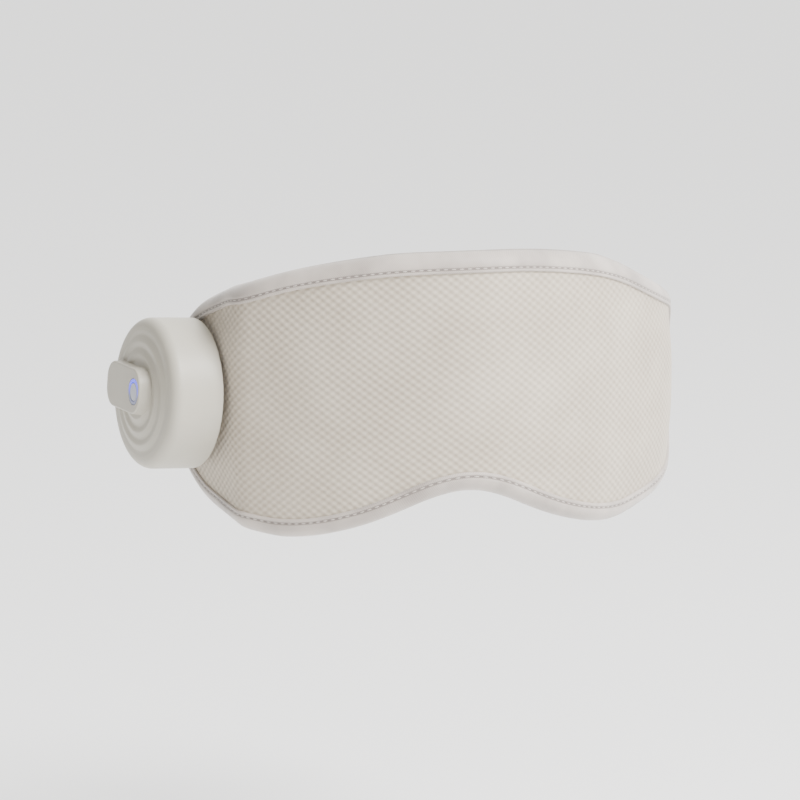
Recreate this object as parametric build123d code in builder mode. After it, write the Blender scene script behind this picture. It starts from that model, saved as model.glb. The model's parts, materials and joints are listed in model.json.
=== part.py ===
"""Eye massager mask: a padded, heated and vibrating eye mask with a round control pod.

Millimetres. The pad wears upright: +Z up, +Y towards the head, +X to the wearer's left.
The origin is where the skin side of the pad meets the bridge of the nose.
A run is a length along the outer face of the pad from the nose, + to the wearer's left.
A depth is a distance behind that outer face, towards the head.
"""

import os
from math import cos, radians, sin, tan

from build123d import *

os.makedirs("parts", exist_ok=True)

# ---- pad: plan line (radius, run length), from the nose outwards ----
NOSE_ARC = (50, 12)
EYE_ARC_LEFT = (125, 86)
TEMPLE_ARC_LEFT = (62, 37)
EYE_ARC_RIGHT = (120, 63)
BEND_ARC_RIGHT = (15, 8.75)
TAIL_RUN = 51.25  # straight run behind the pod

# ---- pad: layers ----
COVER = 1.0
FOAM = 9.2
LAYER_GAP = 0.05
FILM = 0.4
LINING = 1.0
PAD = COVER + FOAM + FILM + LINING + 4 * LAYER_GAP
BINDING_WALL = 0.5
BINDING_WIDTH = 6.5
SEWN_GAP = 0.1

# ---- pad: rim, as heights over the front and over the temples ----
BROW_HEIGHT = 47.8
BROW_POINTS = [(21, 47.1), (41.5, 44.4), (55.5, 41.0), (66, 36.8)]  # across, up
NOTCH_HEIGHT = -30.4
CHEEK_POINTS = [(11.6, -32.8), (23, -38.0), (34, -42.6), (44.5, -45.8), (54.5, -47.5), (64, -47.2)]
FRONT_WIDTH = 110
END_MARGIN, END_LENGTH = 2, 29
TEMPLE_TOP = [(20, 35.8), (8, 31.4)]  # run short of the rounded end, up
TEMPLE_LOW = [(26, -46.4), (8, -43.6)]
END_Z, END_HEIGHT = -7.0, 33.5
REACH = 150

# ---- skin side ----
EYE_X, EYE_Z = 38, -5
EYE_PAD = (27, 21)  # half width and half height of a cushion
EYE_CUP = (19, 13)
EYE_PAD_DEPTH = 7
NOSE_PAD_RUN, NOSE_PAD_Z = 6.5, -13
NOSE_PAD_SIZE = (7, 16, 4)

# ---- heating films and motors ----
FILM_RUN, FILM_Z = 43, -6
FILM_SIZE = (46, 44)
MOTOR_RUN, MOTOR_Z = 44, 27
CAN_RADIUS, CAN_LENGTH = 3.0, 11
SHAFT_RADIUS = 0.5
WEIGHT_RADIUS, WEIGHT_LENGTH = 2.7, 4
HOUSING_WALL = 0.8
MOTOR_GAP = 0.25
HOUSING_DEPTH = COVER + 0.5
LEAD_WIDTH, LEAD_Z = 5, 21
LEAD_LEFT_RUN = 44

# ---- pod ----
POD_RADIUS = 25
POD_WALL_TOP = 14.3
SHOULDER = 3.6
POD_WALL = 1.8
POD_FROM_END, POD_Z, POD_TILT = 26.4, -4.3, 4.2
POD_STANDOFF = 2.6
FACE_RISE = 1.9
RIPPLES = (19.3, 15.0, 10.8)
RIPPLE_DEPTH = 0.5
BASE = 2.6
FIT = 0.25
RUNNING = 0.05
BAR_LENGTH, BAR_WIDTH, BAR_TOP = 29.5, 15.0, 22.6
BAR_X, BAR_Y, BAR_TURN = -4.1, 1.2, -3
BAR_DRAFT = 6
BAR_PEGS = (-11.0, -4.0)
PEG_RADIUS = 1.0
BUTTON_OFFSET = 9.9
BUTTON_RADIUS, RING_RADIUS = 3.0, 4.2
BUTTON_TRAVEL = 0.5
STEM_RADIUS = 1.4
SCREW_CIRCLE = 20.0
BOSS_RADIUS, SCREW_RADIUS, SCREW_HEAD = 2.2, 0.9, 1.7
POST_X, POST_Y, POST_RADIUS = 8, 14, 1.4
BOARD_RADIUS, BOARD, BOARD_HEIGHT = 21.5, 1.2, 9.0
BATTERY_SIZE = (29, 18, 4.6)
BATTERY_X = 3
BATTERY_FOAM = 1.0
SOCKET_SIZE = (7.4, 9.0, 3.2)
SWITCH_SIZE = (5.0, 5.0, 2.0)
PLUNGER_RADIUS, PLUNGER_TOP = 1.2, 13.2
LIGHT_SIZE = (1.6, 1.0, 0.8)
CHIPS, CHIP_SIZE = [(-8, 6), (-8, -6)], (6, 5, 1)
SMALL_PARTS, SMALL_SIZE = [(-1, 11), (4, 12)], (2, 3)
PIN_PITCH, PIN_RADIUS, PIN_TRAVEL = 3.2, 0.7, 0.6
MAGNET_RADIUS, MAGNET, MAGNET_CIRCLE = 3.0, 1.6, 14.0

# ---- dock on the mask ----
DOCK_RADIUS = 17.4
DOCK_GAP = 0.3
DOCK_RECESS = 0.8
BACK_RADIUS, BACK_PLATE = 17, 1.4
DOCK_MAGNET = 1.0
DOCK_SCREW_CIRCLE = 9.5
CONTACT_RADIUS, CONTACT_TAIL = 1.1, 0.5

# ---- strap ----
STRAP, STRAP_WIDTH = 1.5, 28
STRAP_Z = END_Z
STRAP_BACK_Y = 112
STRAP_SEWN = 17
STRAP_CORNER = 16
STRAP_CLEAR = 0.35
RING_WIRE, RING_ROUND = 1.25, 0.9
RING_SPACING = 7.0
RING_ROOM = 0.5
LOOP_SEWN, LOOP_LEAVES = 23, 1  # short of the pad's end
RING_DISTANCE = 9
SLIDER_X, SLIDER_LENGTH, SLIDER_WALL, SLIDER_WEB = -8, 11, 1.2, 1.1
SLIDER_CORNER = 1.5


# ==== plan line ====
FRONT_Y = -PAD
LEFT_LINE = (NOSE_ARC, EYE_ARC_LEFT, TEMPLE_ARC_LEFT)
RIGHT_LINE = (NOSE_ARC, EYE_ARC_RIGHT, BEND_ARC_RIGHT, (None, TAIL_RUN))
LEFT_END, RIGHT_END = (sum(length for _, length in line) for line in (LEFT_LINE, RIGHT_LINE))
POD_RUN = RIGHT_END - POD_FROM_END


def plan_step(point, heading, radius, length, depth):
    """End point and heading after one stretch of the plan line, on the left side."""
    if radius is None:
        return point + Vector(cos(heading), sin(heading)) * length, heading
    turn, arc = length / radius, radius - depth
    step = Vector(sin(heading + turn) - sin(heading), cos(heading) - cos(heading + turn))
    return point + step * arc, heading + turn


def plan_plane(run, height=0, depth=0):
    """Plane on the pad: X along it to the wearer's left, Y up, Z out of its outer face."""
    side = 1 if run >= 0 else -1
    point, heading, left = Vector(0, FRONT_Y + depth), 0, abs(run)
    for radius, length in LEFT_LINE if side > 0 else RIGHT_LINE:
        stretch = min(left, length)
        point, heading = plan_step(point, heading, radius, stretch, depth)
        left -= stretch
    along = Vector(cos(heading), side * sin(heading))
    outward = Vector(side * sin(heading), -cos(heading))
    return Plane(Vector(side * point.X, point.Y, height), x_dir=along, z_dir=outward)


def plan_edges(depth, side, limit=REACH):
    """Edges of the plan line at a depth, from the nose to a run on one side."""
    edges, point, heading, left = [], Vector(0, FRONT_Y + depth), 0, limit
    for radius, length in LEFT_LINE if side > 0 else RIGHT_LINE:
        stretch = min(left, length)
        if stretch <= 0:
            break
        end, end_heading = plan_step(point, heading, radius, stretch, depth)
        middle, _ = plan_step(point, heading, radius, stretch / 2, depth)
        ends = [Vector(side * p.X, p.Y) for p in (point, middle, end)]
        straight = radius is None
        edges.append(Line(ends[0], ends[2]) if straight else ThreePointArc(*ends))
        point, heading, left = end, end_heading, left - stretch
    return edges


def plan_band(near, far, runs=(REACH, REACH)):
    """Face in plan between two depths, out to a run on the wearer's right and left."""
    lines = {}
    for depth in (near, far):
        right, left = (plan_edges(depth, s, r) for s, r in zip((-1, 1), runs))
        lines[depth] = right[::-1] + left
    near_ends = [lines[near][0] @ 1, lines[near][-1] @ 1]
    far_ends = [lines[far][0] @ 1, lines[far][-1] @ 1]
    closing = [Line(a, b) for a, b in zip(near_ends, far_ends)]
    return Face(Wire(lines[near] + lines[far] + closing))


# ==== rim: one outline from the front, one from each side ====
def front_view(inset):
    """The rim from the front. Past the temples it stays wide and the side views cut it."""
    with BuildSketch(Plane.XZ) as view:
        with BuildLine():
            edges = []
            for middle, points in ((BROW_HEIGHT, BROW_POINTS), (NOTCH_HEIGHT, CHEEK_POINTS)):
                mirrored = [(-x, z) for x, z in reversed(points)]
                edge = Spline(*mirrored, (0, middle), *points)
                run_out = (FRONT_WIDTH - points[-1][0]) / (edge % 1).X
                ends = [edge @ 0 - (edge % 0) * run_out, edge @ 1 + (edge % 1) * run_out]
                Line(edge @ 0, ends[0])
                Line(edge @ 1, ends[1])
                edges.append(ends)
            Line(edges[0][0], edges[1][0])
            Line(edges[0][1], edges[1][1])
        make_face()
        if inset:
            offset(amount=-inset, kind=Kind.ARC)
    return view.sketch.to_splines()


def side_view(side, inset):
    """One temple from the side: a broad tab with a rounded end."""
    end_run = (LEFT_END if side > 0 else RIGHT_END) - END_MARGIN - END_LENGTH

    def along(short):
        return plan_plane(side * (end_run - short), 0, PAD / 2).origin.Y

    start, reach = along(0), along(-END_LENGTH) - along(0)
    rounded = [
        (start + reach * sin(angle), END_Z + END_HEIGHT * cos(angle))
        for angle in [radians(a) for a in (22, 55, 90, 125, 158)]
    ]
    top = [(along(short), z) for short, z in TEMPLE_TOP]
    low = [(along(short), z) for short, z in reversed(TEMPLE_LOW)]
    with BuildSketch(Plane.YZ) as view:
        with BuildLine():
            edge = Spline(*top, *rounded, *low)
            ends = [edge @ 0 - (edge % 0) * REACH / 2, edge @ 1 + (edge % 1) * REACH / 2]
            Line(edge @ 0, ends[0])
            Line(edge @ 1, ends[1])
            Line(*ends)
        make_face()
        if inset:
            offset(amount=-inset, kind=Kind.ARC)
    return view.sketch.to_splines()


def rim_prism(inset):
    """Everything within the rim, less an inset."""
    with BuildPart() as prism:
        extrude(side_view(1, inset), amount=REACH)
        extrude(side_view(-1, inset), amount=-REACH)
        extrude(front_view(inset), amount=REACH, both=True, mode=Mode.INTERSECT)
    return prism.part


RIM = rim_prism(0)
LAYER_RIM = rim_prism(BINDING_WALL + LAYER_GAP)
BINDING_RIM = rim_prism(BINDING_WIDTH)


# ==== places worked out from the sizes above ====
SIDES = ((-1, "right"), (1, "left"))
HOUSING_SIZE = (
    CAN_LENGTH + WEIGHT_LENGTH + MOTOR_GAP * 3 + 2 * HOUSING_WALL + 0.6,
    2 * CAN_RADIUS + 2 * HOUSING_WALL + 2 * MOTOR_GAP,
    2 * CAN_RADIUS + 2 * HOUSING_WALL + 2 * MOTOR_GAP,
)
HOUSING_CORNER = 1.5
POD_SEAT = plan_plane(-POD_RUN, POD_Z)
BEFORE_BEND = (NOSE_ARC[1] + EYE_ARC_RIGHT[1],) * 2
PODSIDE = plan_plane(-POD_RUN)
OUTWARD = PODSIDE.z_dir * cos(radians(POD_TILT)) + Vector(0, 0, sin(radians(POD_TILT)))
POD = Plane(POD_SEAT.origin + POD_SEAT.z_dir * POD_STANDOFF, x_dir=PODSIDE.x_dir, z_dir=OUTWARD)
POD_SECTION = Plane(POD.origin, x_dir=POD.x_dir, z_dir=-POD.y_dir)
POD_AXIS = Axis(POD.origin, POD.z_dir)
FACE_EDGE = POD_WALL_TOP + SHOULDER


def face_height(radius):
    """Height of the pod's face over its foot: a low dome."""
    return FACE_EDGE + FACE_RISE * (1 - (radius / (POD_RADIUS - SHOULDER)) ** 2)


BAR = Plane(POD.from_local_coords(Vector(BAR_X, BAR_Y)), x_dir=POD.x_dir, z_dir=POD.z_dir)
BAR = BAR.rotated((0, 0, BAR_TURN))
KEY = Plane(BAR.from_local_coords(Vector(BUTTON_OFFSET, 0)), x_dir=BAR.x_dir, z_dir=BAR.z_dir)
BOARD_TOP = BOARD_HEIGHT + BOARD
PLUNGER_SEAT = 0.5
BUTTON_CAP = 2.0
BAR_FLARE = 2 * (BAR_TOP - POD_WALL_TOP) * tan(radians(BAR_DRAFT))
PEG_START = POD_WALL_TOP
RING_START = BOARD_TOP + SWITCH_SIZE[2] + 0.4
LIGHT_OFFSET = (BUTTON_RADIUS + FIT + RING_RADIUS) / 2
SCREW_DEPTH, SCREW_SEAT = 6.0, 1.2
MAGNET_FLOOR = DOCK_RECESS + 0.2
DOCK_TOP = DOCK_RECESS - DOCK_GAP
PINS = [((i - 1.5) * PIN_PITCH, 0) for i in range(4)]
POSTS = [(x, y) for x in (-POST_X, POST_X) for y in (-POST_Y, POST_Y)]
SOCKET_HEIGHT = BOARD_HEIGHT - SOCKET_SIZE[2] / 2
SOCKET_INNER = POD_RADIUS - POD_WALL - SOCKET_SIZE[0] + 1.2
SOCKET_BORE, SOCKET_TONGUE = (8.4, 2.6), (6.7, 0.7)
SOCKET_PLANE = Plane(
    POD.from_local_coords(Vector(0, 0, SOCKET_HEIGHT)), x_dir=POD.y_dir, z_dir=-POD.x_dir
)
CONTACT_HEAD = 0.6
DOCK_SCREW = COVER + LAYER_GAP + 1.2
DOCK_BACK = plan_plane(-POD_RUN, POD_Z, COVER + LAYER_GAP)
LEAD_ROUTE = [(-80, POD_Z), (-71, POD_Z), (-66, LEAD_Z), (60, LEAD_Z)]
LEAD_BEND = 3


def save(piece, name):
    """Labels a finished piece and writes its STEP file."""
    piece.part.label = name
    export_step(piece.part, f"parts/{name}.step")


# ==== padded mask ====
cover_far = COVER
foam_near = cover_far + LAYER_GAP
foam_far = foam_near + FOAM
film_near = foam_far + LAYER_GAP
film_far = film_near + FILM
lining_near = film_far + LAYER_GAP
lining_far = lining_near + LINING
skin_side = PAD + LAYER_GAP

with BuildPart() as front_cover:
    extrude(plan_band(0, cover_far), amount=REACH, both=True)
    add(LAYER_RIM, mode=Mode.INTERSECT)
    # the dock's screws and contacts pass through
    with BuildSketch(DOCK_BACK):
        with PolarLocations(DOCK_SCREW_CIRCLE, 4, start_angle=45):
            Circle(SCREW_RADIUS + FIT)
        with Locations(*PINS):
            Circle(CONTACT_TAIL + FIT)
    extrude(amount=POD_RADIUS, mode=Mode.SUBTRACT)
save(front_cover, "front_cover")

with BuildPart() as inner_lining:
    extrude(plan_band(lining_near, lining_far), amount=REACH, both=True)
    add(LAYER_RIM, mode=Mode.INTERSECT)
save(inner_lining, "inner_lining")

with BuildPart() as room:
    extrude(plan_band(-LAYER_GAP, PAD + LAYER_GAP), amount=REACH, both=True)
    add(rim_prism(BINDING_WALL), mode=Mode.INTERSECT)
layer_room = room.part

with BuildPart() as edge_binding:
    extrude(plan_band(-BINDING_WALL, PAD + BINDING_WALL), amount=REACH, both=True)
    add(RIM, mode=Mode.INTERSECT)
    add(BINDING_RIM, mode=Mode.SUBTRACT)
    add(layer_room, mode=Mode.SUBTRACT)
save(edge_binding, "edge_binding")

with BuildPart() as foam_pad:
    extrude(plan_band(foam_near, foam_far), amount=REACH, both=True)
    add(LAYER_RIM, mode=Mode.INTERSECT)
    for side in (-1, 1):
        # room for a motor housing, let in from the front
        pocket = plan_plane(side * MOTOR_RUN, MOTOR_Z, HOUSING_DEPTH - 0.5)
        with BuildSketch(pocket):
            Rectangle(HOUSING_SIZE[0] + 2 * FIT, HOUSING_SIZE[1] + 2 * FIT)
        extrude(amount=-HOUSING_SIZE[2] - 1.0, mode=Mode.SUBTRACT)
    # room for the plate behind the dock
    with BuildSketch(DOCK_BACK.offset(1)):
        Circle(BACK_RADIUS + FIT)
    extrude(amount=-1 - BACK_PLATE - FIT, mode=Mode.SUBTRACT)
    with BuildSketch(DOCK_BACK):
        with Locations(*PINS):
            Circle(CONTACT_TAIL + FIT)
    extrude(amount=-PAD, mode=Mode.SUBTRACT)
save(foam_pad, "foam_pad")

# ==== skin side: cushions round the eyes, pads beside the nose ====
for side, hand in SIDES:
    with BuildPart() as cushion:
        extrude(plan_band(skin_side, skin_side + EYE_PAD_DEPTH, BEFORE_BEND), amount=REACH, both=True)
        with BuildSketch(Plane.XZ):
            with Locations((side * EYE_X, EYE_Z)):
                RectangleRounded(2 * EYE_PAD[0], 2 * EYE_PAD[1], EYE_PAD[1] - 1)
                RectangleRounded(2 * EYE_CUP[0], 2 * EYE_CUP[1], EYE_CUP[1] - 1, mode=Mode.SUBTRACT)
        extrude(amount=REACH, both=True, mode=Mode.INTERSECT)
    save(cushion, f"eye_cushion_{hand}")

    with BuildPart() as nose_pad:
        extrude(plan_band(skin_side, skin_side + NOSE_PAD_SIZE[2], BEFORE_BEND), amount=REACH, both=True)
        with BuildSketch(plan_plane(side * NOSE_PAD_RUN, NOSE_PAD_Z)):
            RectangleRounded(*NOSE_PAD_SIZE[:2], NOSE_PAD_SIZE[0] / 2 - 0.5)
        extrude(amount=-REACH, mode=Mode.INTERSECT)
        with BuildSketch(Plane.XZ):
            with Locations((side * EYE_X, EYE_Z)):
                RectangleRounded(2 * (EYE_PAD[0] + 1), 2 * (EYE_PAD[1] + 1), EYE_PAD[1])
        extrude(amount=REACH, both=True, mode=Mode.SUBTRACT)
    save(nose_pad, f"nose_pad_{hand}")

# ==== heat: a film behind each eye and one flat lead to both ====
for side, hand in SIDES:
    with BuildPart() as film:
        extrude(plan_band(film_near, film_far), amount=REACH, both=True)
        with BuildSketch(plan_plane(side * FILM_RUN, FILM_Z)):
            RectangleRounded(*FILM_SIZE, FILM_SIZE[1] / 3)
        extrude(amount=-REACH, mode=Mode.INTERSECT)
    save(film, f"heating_film_{hand}")

with BuildPart() as wiring_ribbon:
    extrude(plan_band(film_near, film_far, (POD_RUN, LEAD_LEFT_RUN)), amount=REACH, both=True)
    with BuildSketch(Plane.XZ):
        with BuildLine():
            FilletPolyline(*LEAD_ROUTE, radius=LEAD_BEND)
        trace(line_width=LEAD_WIDTH)
    extrude(amount=REACH, both=True, mode=Mode.INTERSECT)
save(wiring_ribbon, "wiring_ribbon")

# ==== massage: a can motor with an off-centre weight over each eye ====
for side, hand in SIDES:
    centre = plan_plane(side * MOTOR_RUN, MOTOR_Z, HOUSING_DEPTH + HOUSING_SIZE[2] / 2)
    floor = centre.offset(-HOUSING_SIZE[2] / 2)
    across = Plane(centre.origin, x_dir=-centre.z_dir, z_dir=side * centre.x_dir)
    can_start = across.offset(-CAN_LENGTH / 2 - WEIGHT_LENGTH / 2)
    can_end = can_start.offset(CAN_LENGTH)
    weight_start = can_end.offset(MOTOR_GAP)

    with BuildPart() as housing:
        with BuildSketch(floor):
            RectangleRounded(HOUSING_SIZE[0], HOUSING_SIZE[1], HOUSING_CORNER)
        extrude(amount=HOUSING_SIZE[2] - HOUSING_WALL)
        with BuildSketch(floor.offset(HOUSING_WALL)):
            Rectangle(HOUSING_SIZE[0] - 2 * HOUSING_WALL, HOUSING_SIZE[1] - 2 * HOUSING_WALL)
        extrude(amount=HOUSING_SIZE[2], mode=Mode.SUBTRACT)
    save(housing, f"motor_housing_{hand}")

    with BuildPart() as cover:
        with BuildSketch(floor.offset(HOUSING_SIZE[2] - HOUSING_WALL)):
            RectangleRounded(HOUSING_SIZE[0], HOUSING_SIZE[1], HOUSING_CORNER)
        extrude(amount=HOUSING_WALL)
    save(cover, f"motor_cover_{hand}")

    with BuildPart() as can:
        with BuildSketch(can_start):
            Circle(CAN_RADIUS)
        extrude(amount=CAN_LENGTH)
        with BuildSketch(can_end):
            Circle(SHAFT_RADIUS + RUNNING)
        extrude(amount=-CAN_LENGTH / 3, mode=Mode.SUBTRACT)
        # two ribs carry the can off the housing floor
        with BuildSketch(floor.offset(HOUSING_WALL)):
            with Locations((side * -CAN_LENGTH / 2, 0), (0, 0)):
                Rectangle(HOUSING_WALL, CAN_RADIUS)
        extrude(amount=HOUSING_SIZE[2] / 2 - HOUSING_WALL)
        with BuildSketch(can_end):
            Circle(SHAFT_RADIUS + RUNNING)
        extrude(amount=-CAN_LENGTH / 3, mode=Mode.SUBTRACT)
    save(can, f"vibration_motor_{hand}")

    with BuildPart() as weight:
        with BuildSketch(weight_start):
            Circle(WEIGHT_RADIUS)
            with Locations((0, WEIGHT_RADIUS)):
                Rectangle(2 * WEIGHT_RADIUS, 2 * (WEIGHT_RADIUS - SHAFT_RADIUS), mode=Mode.SUBTRACT)
            Circle(2 * SHAFT_RADIUS)
        extrude(amount=WEIGHT_LENGTH)
        with BuildSketch(weight_start.offset(WEIGHT_LENGTH)):
            Circle(SHAFT_RADIUS)
        extrude(amount=-WEIGHT_LENGTH - MOTOR_GAP - CAN_LENGTH / 4)
    save(weight, f"eccentric_weight_{hand}")

# ==== pod: shell, bar, key ====
with BuildPart() as pod_outside:
    with BuildSketch(POD_SECTION):
        with BuildLine():
            foot = Line((0, 0), (POD_RADIUS, 0))
            wall = Line(foot @ 1, (POD_RADIUS, POD_WALL_TOP))
            shoulder = TangentArc(wall @ 1, (POD_RADIUS - SHOULDER, FACE_EDGE), tangent=(0, 1))
            face = [shoulder @ 1]
            for outer_r, inner_r in zip(RIPPLES, (*RIPPLES[1:], 2 * RIPPLES[-1] / 3)):
                crest = (outer_r + inner_r) / 2
                face.append((outer_r, face_height(outer_r) - RIPPLE_DEPTH / 2))
                face.append((crest, face_height(crest) + RIPPLE_DEPTH / 2))
            middle = (RIPPLES[-1] / 2, face_height(0))
            ripples = Spline(*face, middle, tangents=((-1, 0.3), (-1, 0)))
            top = Line(ripples @ 1, (0, face_height(0)))
            Line(top @ 1, foot @ 0)
        make_face()
    revolve(axis=POD_AXIS)

with BuildPart() as controller_shell:
    add(pod_outside.part)
    with BuildSketch(POD_SECTION):
        with BuildLine():
            inside = POD_RADIUS - POD_WALL
            ceiling = POD_WALL_TOP
            Polyline((0, -1), (inside, -1), (inside, ceiling - 1))
            TangentArc((inside, ceiling - 1), (inside - SHOULDER, ceiling + 1), tangent=(0, 1))
            Polyline((inside - SHOULDER, ceiling + 1), (0, ceiling + 1), (0, -1))
        make_face()
    revolve(axis=POD_AXIS, mode=Mode.SUBTRACT)
    with BuildSketch(POD.offset(BASE)):
        with PolarLocations(SCREW_CIRCLE, 4, start_angle=45):
            Circle(BOSS_RADIUS)
    extrude(amount=POD_WALL_TOP + 2.2 - BASE)
    with BuildSketch(POD.offset(BASE)):
        with PolarLocations(SCREW_CIRCLE, 4, start_angle=45):
            Circle(SCREW_RADIUS)
    extrude(amount=SCREW_DEPTH, mode=Mode.SUBTRACT)
    # socket opening at the back of the wall, away from the face of the wearer
    with BuildSketch(SOCKET_PLANE):
        RectangleRounded(SOCKET_SIZE[1] + 2 * FIT, SOCKET_SIZE[2] + 2 * FIT, SOCKET_SIZE[2] / 2)
    extrude(amount=POD_RADIUS, mode=Mode.SUBTRACT)
    # key bore and the holes for the bar's pegs
    with BuildSketch(BAR):
        with Locations((BUTTON_OFFSET, 0)):
            Circle(RING_RADIUS + FIT)
        with Locations(*[(x, 0) for x in BAR_PEGS]):
            Circle(PEG_RADIUS + FIT / 2)
    extrude(amount=REACH, mode=Mode.SUBTRACT)
save(controller_shell, "controller_shell")

with BuildPart() as grip_bar:
    with BuildSketch(BAR.offset(POD_WALL_TOP)):
        RectangleRounded(BAR_LENGTH + BAR_FLARE, BAR_WIDTH + BAR_FLARE, BAR_WIDTH / 2 - 0.4)
    extrude(amount=BAR_TOP - POD_WALL_TOP, taper=BAR_DRAFT)
    top_edges = grip_bar.faces().sort_by(POD_AXIS)[-1].edges()
    fillet(top_edges, 0.6)
    add(pod_outside.part, mode=Mode.SUBTRACT)
    with BuildSketch(BAR.offset(PEG_START)):
        with Locations(*[(x, 0) for x in BAR_PEGS]):
            Circle(PEG_RADIUS)
    extrude(amount=BAR_TOP - PEG_START - 1)
    with BuildSketch(BAR):
        with Locations((BUTTON_OFFSET, 0)):
            Circle(RING_RADIUS + FIT)
    extrude(amount=REACH, mode=Mode.SUBTRACT)
save(grip_bar, "grip_bar")

with BuildPart() as light_ring:
    with BuildSketch(KEY.offset(RING_START)):
        Circle(RING_RADIUS)
        Circle(BUTTON_RADIUS + FIT, mode=Mode.SUBTRACT)
    extrude(amount=BAR_TOP - RING_START)
save(light_ring, "light_ring")

with BuildPart() as power_button:
    with BuildSketch(KEY.offset(PLUNGER_TOP)):
        Circle(STEM_RADIUS)
    extrude(amount=BAR_TOP - PLUNGER_TOP - 1)
    with BuildSketch(KEY.offset(BAR_TOP - BUTTON_CAP)):
        Circle(BUTTON_RADIUS)
    extrude(amount=BUTTON_CAP)
    fillet(power_button.edges().sort_by(POD_AXIS)[-1], 0.3)
save(power_button, "power_button")

# ==== pod: board and what it carries ====
with BuildPart() as circuit_board:
    with BuildSketch(POD.offset(BOARD_HEIGHT)):
        Circle(BOARD_RADIUS)
        with PolarLocations(SCREW_CIRCLE, 4, start_angle=45):
            Circle(BOSS_RADIUS + 2 * FIT, mode=Mode.SUBTRACT)
    extrude(amount=BOARD)
save(circuit_board, "circuit_board")

with BuildPart() as tact_switch:
    with BuildSketch(KEY.offset(BOARD_TOP)):
        Rectangle(*SWITCH_SIZE[:2])
    extrude(amount=SWITCH_SIZE[2])
    with BuildSketch(KEY.offset(BOARD_TOP + PLUNGER_SEAT)):
        Circle(PLUNGER_RADIUS + FIT / 2)
    extrude(amount=SWITCH_SIZE[2], mode=Mode.SUBTRACT)
save(tact_switch, "tact_switch")

with BuildPart() as switch_plunger:
    with BuildSketch(KEY.offset(PLUNGER_TOP)):
        Circle(PLUNGER_RADIUS)
    extrude(amount=-(PLUNGER_TOP - BOARD_TOP - PLUNGER_SEAT - BUTTON_TRAVEL - FIT))
save(switch_plunger, "switch_plunger")

with BuildPart() as status_lights:
    with BuildSketch(KEY.offset(BOARD_TOP)):
        with Locations((0, LIGHT_OFFSET), (0, -LIGHT_OFFSET)):
            Rectangle(*LIGHT_SIZE[:2])
    extrude(amount=LIGHT_SIZE[2])
save(status_lights, "status_lights")

with BuildPart() as circuit_chips:
    with BuildSketch(POD.offset(BOARD_TOP)):
        with Locations(*CHIPS):
            Rectangle(*CHIP_SIZE[:2])
        with Locations(*SMALL_PARTS):
            Rectangle(*SMALL_SIZE)
    extrude(amount=CHIP_SIZE[2])
save(circuit_chips, "circuit_chips")

with BuildPart() as usb_c_socket:
    with BuildSketch(SOCKET_PLANE.offset(SOCKET_INNER)):
        RectangleRounded(SOCKET_SIZE[1], SOCKET_SIZE[2], SOCKET_SIZE[2] / 2 - 0.01)
    extrude(amount=SOCKET_SIZE[0])
    with BuildSketch(SOCKET_PLANE.offset(SOCKET_INNER + 1)):
        RectangleRounded(SOCKET_BORE[0], SOCKET_BORE[1], SOCKET_BORE[1] / 2 - 0.01)
        Rectangle(SOCKET_TONGUE[0], SOCKET_TONGUE[1], mode=Mode.SUBTRACT)
    extrude(amount=SOCKET_SIZE[0], mode=Mode.SUBTRACT)
save(usb_c_socket, "usb_c_socket")

with BuildPart() as battery_pack:
    with BuildSketch(POD.offset(BASE + BATTERY_FOAM)):
        with Locations((BATTERY_X, 0)):
            Rectangle(*BATTERY_SIZE[:2])
    extrude(amount=BATTERY_SIZE[2])
    fillet(battery_pack.edges().filter_by(Axis(POD.origin, POD.z_dir)), 1)
save(battery_pack, "battery_pack")

with BuildPart() as battery_foam:
    with BuildSketch(POD.offset(BASE)):
        with Locations((BATTERY_X, 0)):
            Rectangle(BATTERY_SIZE[0] - 2, BATTERY_SIZE[1] - 2)
    extrude(amount=BATTERY_FOAM)
save(battery_foam, "battery_foam")

# ==== pod: base with its magnets, pins and screws ====
with BuildPart() as controller_base:
    with BuildSketch(POD):
        Circle(POD_RADIUS - POD_WALL - FIT)
    extrude(amount=BASE)
    with BuildSketch(POD.offset(BASE)):
        with Locations(*POSTS):
            Circle(POST_RADIUS)
    extrude(amount=BOARD_HEIGHT - BASE)
    with BuildSketch(POD):
        Circle(DOCK_RADIUS + FIT)
    extrude(amount=DOCK_RECESS, mode=Mode.SUBTRACT)
    with BuildSketch(POD.offset(MAGNET_FLOOR)):
        with PolarLocations(MAGNET_CIRCLE, 4):
            Circle(MAGNET_RADIUS)
    extrude(amount=MAGNET, mode=Mode.SUBTRACT)
    with BuildSketch(POD):
        with Locations(*PINS):
            Circle(PIN_RADIUS + RUNNING)
    extrude(amount=BASE, mode=Mode.SUBTRACT)
    with BuildSketch(POD):
        with PolarLocations(SCREW_CIRCLE, 4, start_angle=45):
            Circle(SCREW_RADIUS)
    extrude(amount=BASE, mode=Mode.SUBTRACT)
    with BuildSketch(POD):
        with PolarLocations(SCREW_CIRCLE, 4, start_angle=45):
            Circle(SCREW_HEAD + FIT)
    extrude(amount=SCREW_SEAT, mode=Mode.SUBTRACT)
save(controller_base, "controller_base")

with BuildPart() as base_screws:
    with BuildSketch(POD.offset(SCREW_SEAT)):
        with PolarLocations(SCREW_CIRCLE, 4, start_angle=45):
            Circle(SCREW_HEAD)
    extrude(amount=-SCREW_SEAT + FIT)
    with BuildSketch(POD.offset(SCREW_SEAT)):
        with PolarLocations(SCREW_CIRCLE, 4, start_angle=45):
            Circle(SCREW_RADIUS)
    extrude(amount=BASE - SCREW_SEAT + SCREW_DEPTH - 0.5)
save(base_screws, "base_screws")

with BuildPart() as controller_magnets:
    with BuildSketch(POD.offset(MAGNET_FLOOR)):
        with PolarLocations(MAGNET_CIRCLE, 4):
            Circle(MAGNET_RADIUS)
    extrude(amount=MAGNET)
save(controller_magnets, "controller_magnets")

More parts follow.
